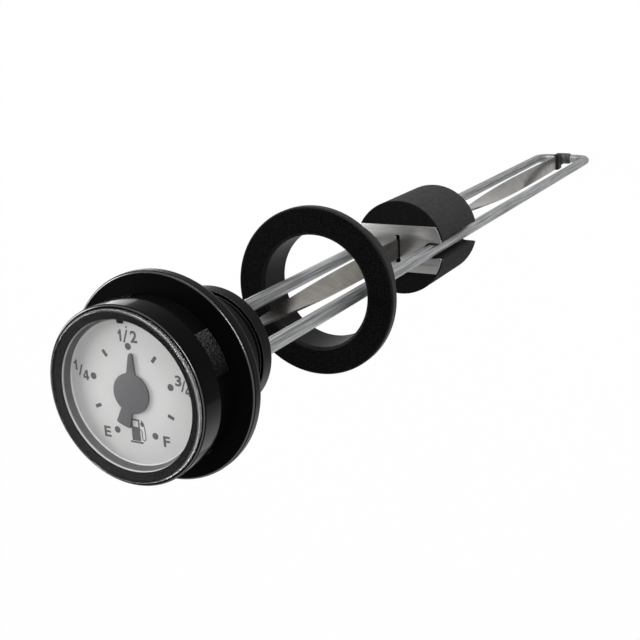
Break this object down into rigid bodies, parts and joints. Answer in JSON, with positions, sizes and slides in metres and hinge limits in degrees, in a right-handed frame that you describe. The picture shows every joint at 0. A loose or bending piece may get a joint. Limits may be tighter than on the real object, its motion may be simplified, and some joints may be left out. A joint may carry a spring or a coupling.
{
  "type": "marine fuel gauge",
  "caption": "Direct-reading fuel gauge: a foam float on a U-shaped guide rod turns a twisted ribbon and, through magnets, the pointer of a sealed dial.",
  "frame": {"origin": "centre of the neck in the plane of the flange's underside, where the gauge seats on the tank", "axes": "+Z along the gauge towards the dial, +Y towards the dial's 12 o'clock, +X towards its 3 o'clock; the rods lie on +X and -X"},
  "size_m": [0.0408, 0.041, 0.289],
  "materials": {
    "head": "satin black moulding",
    "capsule": "glossy black moulding",
    "dial": "matt white with grey printing",
    "dial_rim": "matt light grey",
    "black_ring": "matt black",
    "lens": "clear, flat, with a rounded edge",
    "pointer": "matt grey paint",
    "brass": "turned",
    "magnet": "sintered",
    "steel": "ground",
    "carrier": "dark moulding",
    "plate": "satin sheet",
    "rod": "drawn rod",
    "ribbon": "rolled strip",
    "float": "closed-cell foam",
    "gasket": "matt black rubber"
  },
  "bodies": {
    "frame": {"head": "head", "capsule_cup": "capsule", "dial_plate": "dial", "dial_rim": "dial_rim", "lens_ring": "black_ring", "lens": "lens", "pointer_pivot": "steel", "drive_bearing": "brass", "neck_plate": "plate", "neck_bush": "brass", "guide_rods": "rod", "foot_bearing": "carrier"},
    "pointer_set": {"pointer": "pointer", "pointer_bush": "brass", "pointer_magnet": "magnet"},
    "drive": {"drive_magnet": "magnet", "magnet_carrier": "carrier", "drive_pin": "steel", "twisted_ribbon": "ribbon", "ribbon_foot": "carrier", "foot_pin": "steel"},
    "float": {"float_body": "float", "float_guide": "plate"},
    "gasket": {"gasket": "gasket"}
  },
  "joints": [
    {"name": "float_slide", "type": "slide", "parent": "frame", "child": "float", "axis": [0, 0, 1], "range_m": [-0.1113, 0.0885]},
    {"name": "ribbon_spin", "type": "hinge", "parent": "frame", "child": "drive", "pos_m": [0, 0, -0.05], "axis": [0, 0, 1], "range_deg": [-124.5, 156.5]},
    {"name": "pointer_spin", "type": "hinge", "parent": "frame", "child": "pointer_set", "pos_m": [0, 0, 0.01], "axis": [0, 0, 1], "range_deg": [-124.5, 156.5]},
    {"name": "gasket_slide", "type": "slide", "parent": "frame", "child": "gasket", "axis": [0, 0, 1], "range_m": [-0.038, 0.0578]}
  ],
  "couplings": [
    {"joint": "ribbon_spin", "follows": "float_slide", "rad_per_m": -24.435},
    {"joint": "pointer_spin", "follows": "float_slide", "rad_per_m": -24.435}
  ]
}
